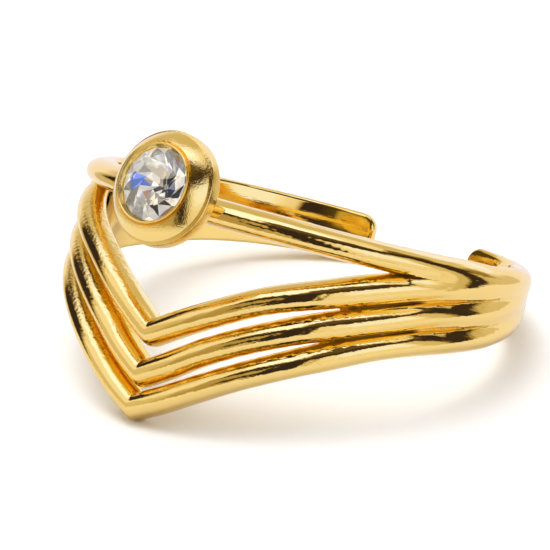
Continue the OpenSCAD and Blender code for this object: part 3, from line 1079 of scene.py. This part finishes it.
# Azimuths from and to, elevations from and to, width of the soft edges across and upwards, level
STUDIO = {
    "far white wall": (-190, -108, -90, 14, 6, 16, 0.98),
    "grey left wall": (-190, -112, 14, 62, 10, 10, 0.62),
    "left window": (-74, -22, 26, 70, 14, 14, 1.0),
    "left front wall": (-72, -12, -8, 24, 14, 10, 0.68),
    "front wall": (-14, 22, -26, 52, 26, 8, 0.38),
    "low front wall by the camera": (10, 34, 2, 20, 6, 6, 0.045),
    "front wall by the camera": (25, 36, 6, 60, 5, 8, 0.045),
    "back wall": (146, 190, -26, 52, 6, 10, 0.68),
    "bright wall behind": (-190, -153, 7, 28, 8, 6, 1.2),
    "bright wall behind and to the right": (166, 190, 5, 22, 5, 6, 1.15),
    "right window": (50, 112, -26, 39, 3, 4, 0.9),
    "right window's middle": (60, 106, 2, 38, 14, 8, 1.17),
    "right window's far side": (106, 126, -8, 39, 10, 4, 0.66),
    "gap under the ceiling": (-20, 150, 42, 66, 10, 5, 0.05),
    "lit wall above the flag": (118, 190, 49, 68, 6, 4, 0.95),
    "gap's low corner": (22, 158, 38, 50, 6, 3, 0.06),
    "edge of the ceiling lamp": (20, 118, 58, 82, 14, 5, 0.1),
    "camera and its lens": (27, 48, -30, 50, 3, 4, 0.04),
    "bright wall above the left flags": (-125, -80, 47, 72, 8, 8, 1.4),
    "upper left flag": (-114, -93, 24, 50, 5, 5, 0.05),
    "lower left flag": (-102, -69, -5, 38, 7, 8, 0.04),
    "upper right flag": (138, 162, 34, 48, 10, 6, 0.17),
    "right flag": (122, 150, 8, 46, 5, 10, 0.045),
    "right flag's low part": (122, 139, -28, 12, 5, 4, 0.045),
    "right flag's far part": (146, 161, 0, 20, 5, 5, 0.24),
    "ceiling": (-190, 190, 66, 95, 1, 8, 1.45),
    "dark end of the ceiling": (30, 112, 60, 84, 18, 4, 0.1),
    "paper under the ring": (-190, 190, -95, -31, 1, 7, 0.97),
}
# Colour of the surroundings at each level: dim parts are warm, the lamps are cool
TINT = (
    (0.04, (0.036, 0.025, 0.030)),
    (0.08, (0.085, 0.060, 0.035)),
    (0.14, (0.200, 0.133, 0.063)),
    (0.35, (0.438, 0.329, 0.157)),
    (0.55, (0.600, 0.512, 0.350)),
    (0.78, (0.800, 0.725, 0.683)),
    (0.98, (0.955, 0.905, 0.973)),
    (1.19, (0.990, 1.098, 1.820)),
    (1.50, (1.400, 1.388, 2.400)),
)
# The highest level in the table, and its strongest channel
TINT_MAX = TINT[-1][0]
TINT_PEAK = max(TINT[-1][1])
# Half the floor's width, how far from its middle the metal mirrors it, both in metres, and its
# colours
FLOOR_HALF = 0.6
PAPER_REACH = 0.022
PAPER = (0.985, 0.975, 0.97)
MIRRORED_PAPER = (0.76, 0.73, 0.80)
# Light on the floor from level directions, and how much more comes from straight above
SKY_LEVEL = 0.15
SKY_ABOVE = 0.75
# A wide lamp almost straight above the ring, a little to its left, throws the soft shadow
LAMP_WAY = (-0.22, 0.03, 0.975)
LAMP_TIGHT = 14
LAMP_LEVEL = 5.0


def make_floor():
    """A wide pale floor. In the metal's mirror it ends like a sheet of paper round the ring."""
    h = FLOOR_HALF
    mesh = bpy.data.meshes.new("floor")
    mesh.from_pydata([(-h, -h, 0), (h, -h, 0), (h, h, 0), (-h, h, 0)], [], [(0, 1, 2, 3)])
    material, graph, shader = new_material("pale_floor", {"Roughness": 0.9, "Specular IOR Level": 0})
    place = graph.nodes.new("ShaderNodeNewGeometry").outputs["Position"]
    distance = graph.vector_math("LENGTH", place)["Value"]
    far = graph.math("GREATER_THAN", distance, PAPER_REACH)
    direct, _ = seen_directly(graph)
    hidden = graph.product(far, graph.math("SUBTRACT", 1.0, direct))
    graph.put(shader.inputs["Base Color"], graph.ramp(direct, ((0.0, MIRRORED_PAPER), (1.0, PAPER))))
    clear = graph.nodes.new("ShaderNodeBsdfTransparent")
    surface = graph.mixed_shaders(hidden, shader.outputs[0], clear.outputs[0])
    graph.put(graph.nodes["Material Output"].inputs[0], surface)
    mesh.materials.append(material)
    floor = bpy.data.objects.new("floor", mesh)
    bpy.context.collection.objects.link(floor)


def studio_level(graph, way):
    """How light the studio is in a direction. Later parts cover earlier ones."""
    x, y, z = graph.split(way)
    degrees = 180 / math.pi
    azimuth = graph.product(graph.math("ARCTAN2", x, graph.product(y, -1.0)), degrees)
    elevation = graph.product(graph.math("ARCSINE", z), degrees)
    level = BASE_LEVEL
    for west, east, low, high, soft_across, soft_up, light in STUDIO.values():
        across = graph.within(azimuth, west, east, soft_across)
        upward = graph.within(elevation, low, high, soft_up)
        level = graph.blend(graph.product(across, upward), level, light)
    return level


def make_world():
    """White behind the ring and as its light, the studio's parts in its mirror."""
    world = bpy.data.worlds.new("studio")
    world.use_nodes = True
    graph = Graph(world.node_tree)
    way = graph.nodes.new("ShaderNodeTexCoord").outputs["Generated"]
    stops = [(at / TINT_MAX, [c / TINT_PEAK for c in colour]) for at, colour in TINT]
    mirrored = graph.ramp(graph.math("DIVIDE", studio_level(graph, way), TINT_MAX), stops)
    studio = graph.nodes["Background"]
    graph.fill(studio, {"Color": mirrored, "Strength": TINT_PEAK})
    direct, soft = seen_directly(graph)
    height = graph.math("MAXIMUM", graph.split(way)[2], 0.0)
    above = graph.math("MULTIPLY_ADD", height, SKY_ABOVE, SKY_LEVEL)
    towards_lamp = graph.math("MAXIMUM", graph.vector_math("DOT_PRODUCT", way, LAMP_WAY)["Value"], 0.0)
    lamp = graph.math("POWER", towards_lamp, LAMP_TIGHT)
    sky = graph.math("MULTIPLY_ADD", lamp, LAMP_LEVEL, above)
    white = graph.nodes.new("ShaderNodeBackground")
    graph.fill(white, {"Color": (1, 1, 1, 1), "Strength": graph.blend(soft, 1.0, sky)})
    surroundings = graph.mixed_shaders(direct, studio.outputs[0], white.outputs[0])
    graph.put(graph.nodes["World Output"].inputs[0], surroundings)
    bpy.context.scene.world = world
    bpy.context.scene.view_settings.view_transform = "Standard"


metal = ring_metal(gold_plate())
cup = turned_cup(satin_gold("cup_gold", GOLD), satin_gold("solder", DEEP_GOLD))
stone = cut_stone(clear_stone(), foil_back())
for piece in (metal, cup):
    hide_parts("ring_band")
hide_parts("crystal")
for piece in (metal, cup, stone):
    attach(piece, "root")
make_camera()
make_floor()
make_world()
